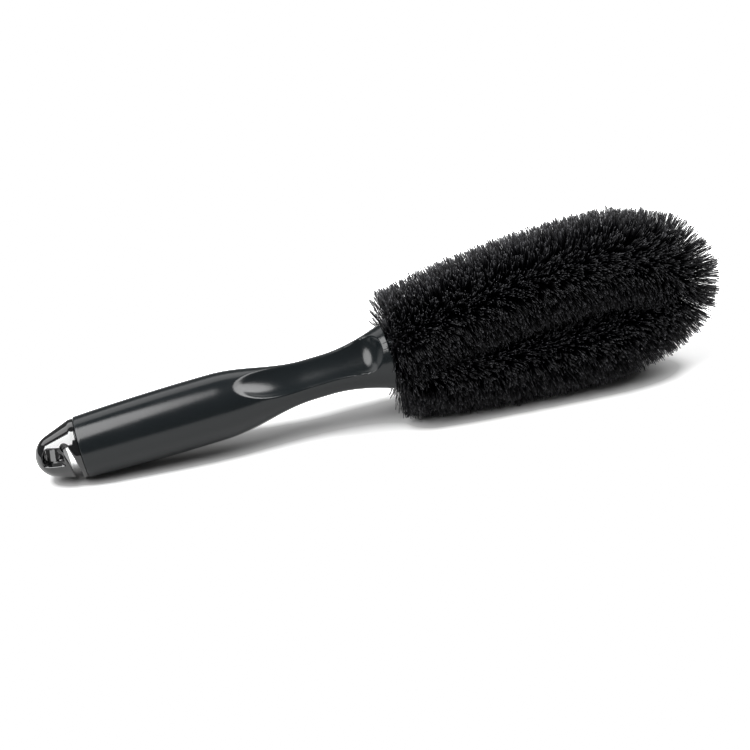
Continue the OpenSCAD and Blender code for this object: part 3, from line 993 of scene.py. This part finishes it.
def add_floor(colours):
    """A broad sheet of paper under the brush."""
    corners = [(FLOOR_HALF * x, FLOOR_HALF * y, 0) for x, y in ((-1, -1), (1, -1), (1, 1), (-1, 1))]
    mesh = bpy.data.meshes.new("floor")
    mesh.from_pydata(corners, [], [(0, 1, 2, 3)])
    mesh.materials.append(matt_paper(colours))
    floor = bpy.data.objects.new("floor", mesh)
    bpy.context.scene.collection.objects.link(floor)


ROOM_GLOW = 0.1
# Brightness of a surface, and how bright it is shown: as it is up to the first of these, and
# rising from there to white at the second.
SHADOWS_END = (0.4, 0.4)
PAPER_WHITE = (0.6, 1.0)


def add_world():
    """A dim room. The camera itself sees white on every side of the floor."""
    world = bpy.data.worlds.new("studio")
    world.use_nodes = True
    tree = world.node_tree
    tree.nodes.clear()
    path = add_node(tree, "ShaderNodeLightPath")
    seen = add_node(tree, "ShaderNodeMath", {0: path.outputs["Is Camera Ray"], 1: ROOM_GLOW},
                    operation="MAXIMUM")
    glow = add_node(tree, "ShaderNodeBackground", {"Color": (1, 1, 1, 1),
                                                   "Strength": seen.outputs[0]})
    add_node(tree, "ShaderNodeOutputWorld", {"Surface": glow.outputs[0]})
    bpy.context.scene.world = world


def set_tones():
    """Shows the paper as pure white, and leaves its shadows and all that is dark as they are."""
    view = bpy.context.scene.view_settings
    view.view_transform = "Standard"
    view.use_curve_mapping = True
    for level, shown in (SHADOWS_END, PAPER_WHITE):
        view.curve_mapping.curves[3].points.new(level, shown).handle_type = "VECTOR"
    view.curve_mapping.update()


# ---------------------------------------------------------------------------------------------
# Operators

class BuildStage(bpy.types.Operator):
    """Adds the camera, the floor, the lights and the white surround"""
    bl_idname = "wheel_brush.stage"
    bl_label = "Stage"

    def execute(self, context):
        add_camera(context.scene.brush_stage)
        add_floor(context.scene.brush_colours)
        add_lights()
        add_world()
        set_tones()
        return {"FINISHED"}


class BuildHandle(bpy.types.Operator):
    """Builds the hollow handle with its two thumb recesses"""
    bl_idname = "wheel_brush.handle"
    bl_label = "Handle"

    def execute(self, context):
        scene = context.scene
        build_handle(scene.brush_handle, scene.brush_cap.length,
                     satin_polypropylene(scene.brush_colours))
        return {"FINISHED"}


class BuildCap(bpy.types.Operator):
    """Builds the polished end cap with its hang hole and slot"""
    bl_idname = "wheel_brush.cap"
    bl_label = "End cap"

    def execute(self, context):
        scene = context.scene
        build_cap(scene.brush_cap, scene.brush_handle, polished_abs(scene.brush_colours))
        return {"FINISHED"}


def finish_node(name, material):
    """Gives a carried-over CAD node its material."""
    mesh = frame["nodes"][name].data
    mesh.materials.clear()
    mesh.materials.append(material)


class FinishCollar(bpy.types.Operator):
    """Gives the disc in the flare its material"""
    bl_idname = "wheel_brush.collar"
    bl_label = "Stem collar"

    def execute(self, context):
        finish_node("stem_collar", dull_polyethylene(context.scene.brush_colours))
        return {"FINISHED"}


class FinishSleeve(bpy.types.Operator):
    """Gives the crimp sleeve inside the neck its material"""
    bl_idname = "wheel_brush.sleeve"
    bl_label = "Crimp sleeve"

    def execute(self, context):
        finish_node("crimp_sleeve", crimped_aluminium(context.scene.brush_colours))
        return {"FINISHED"}


class BuildWire(bpy.types.Operator):
    """Builds the two strands of the twisted wire loop"""
    bl_idname = "wheel_brush.wire"
    bl_label = "Wire strands"

    def execute(self, context):
        scene = context.scene
        loop = Loop(scene.brush_loop)
        zinc = galvanised_steel(scene.brush_colours)
        build_strand("wire_strand_a", 0, loop, scene.brush_handle.length, zinc)
        build_strand("wire_strand_b", pi, loop, scene.brush_handle.length, zinc)
        return {"FINISHED"}


class BuildBristles(bpy.types.Operator):
    """Builds every group of filaments round the loop"""
    bl_idname = "wheel_brush.bristles"
    bl_label = "Bristles"

    def execute(self, context):
        scene = context.scene
        loop = Loop(scene.brush_loop)
        sizes = scene.brush_bristles
        rng = np.random.default_rng(sizes.seed)
        fields = [waves(rng, DRIFT_WAVES, *DRIFT_LENGTHS) for _ in range(2)]
        filament = drawn_filament(scene.brush_colours)
        for name, span in bristle_spans(loop).items():
            build_bristles(name, span, loop, sizes, scene.brush_handle.length, rng, fields,
                           filament)
        return {"FINISHED"}


SETTINGS = {"brush_handle": HandleSizes, "brush_cap": CapSizes, "brush_loop": LoopSizes,
            "brush_bristles": BristleSizes, "brush_colours": BrushColours,
            "brush_stage": StageSettings}
STEPS = (BuildStage, BuildHandle, BuildCap, FinishCollar, FinishSleeve, BuildWire, BuildBristles)


class BrushPanel(bpy.types.Panel):
    """Lists the steps that build the brush, with their sizes and colours"""
    bl_idname = "VIEW3D_PT_wheel_brush"
    bl_label = "Wheel Brush"
    bl_space_type = "VIEW_3D"
    bl_region_type = "UI"
    bl_category = "Wheel Brush"

    def draw(self, context):
        for step in STEPS:
            self.layout.operator(step.bl_idname)
        for name, group in SETTINGS.items():
            box = self.layout.box()
            box.label(text=group.__doc__)
            for field in group.__annotations__:
                box.prop(getattr(context.scene, name), field)


def register():
    """Adds the settings, the operators and the panel to Blender."""
    for made in (*SETTINGS.values(), *STEPS, BrushPanel):
        bpy.utils.register_class(made)
    for name, group in SETTINGS.items():
        setattr(bpy.types.Scene, name, PointerProperty(type=group))


def unregister():
    """Takes them away again."""
    for name in SETTINGS:
        delattr(bpy.types.Scene, name)
    for made in reversed((*SETTINGS.values(), *STEPS, BrushPanel)):
        bpy.utils.unregister_class(made)


def main():
    """Builds the whole brush."""
    register()
    bpy.ops.wheel_brush.stage()
    bpy.ops.wheel_brush.handle()
    bpy.ops.wheel_brush.cap()
    bpy.ops.wheel_brush.collar()
    bpy.ops.wheel_brush.sleeve()
    bpy.ops.wheel_brush.wire()
    bpy.ops.wheel_brush.bristles()


if __name__ == "__main__":
    main()
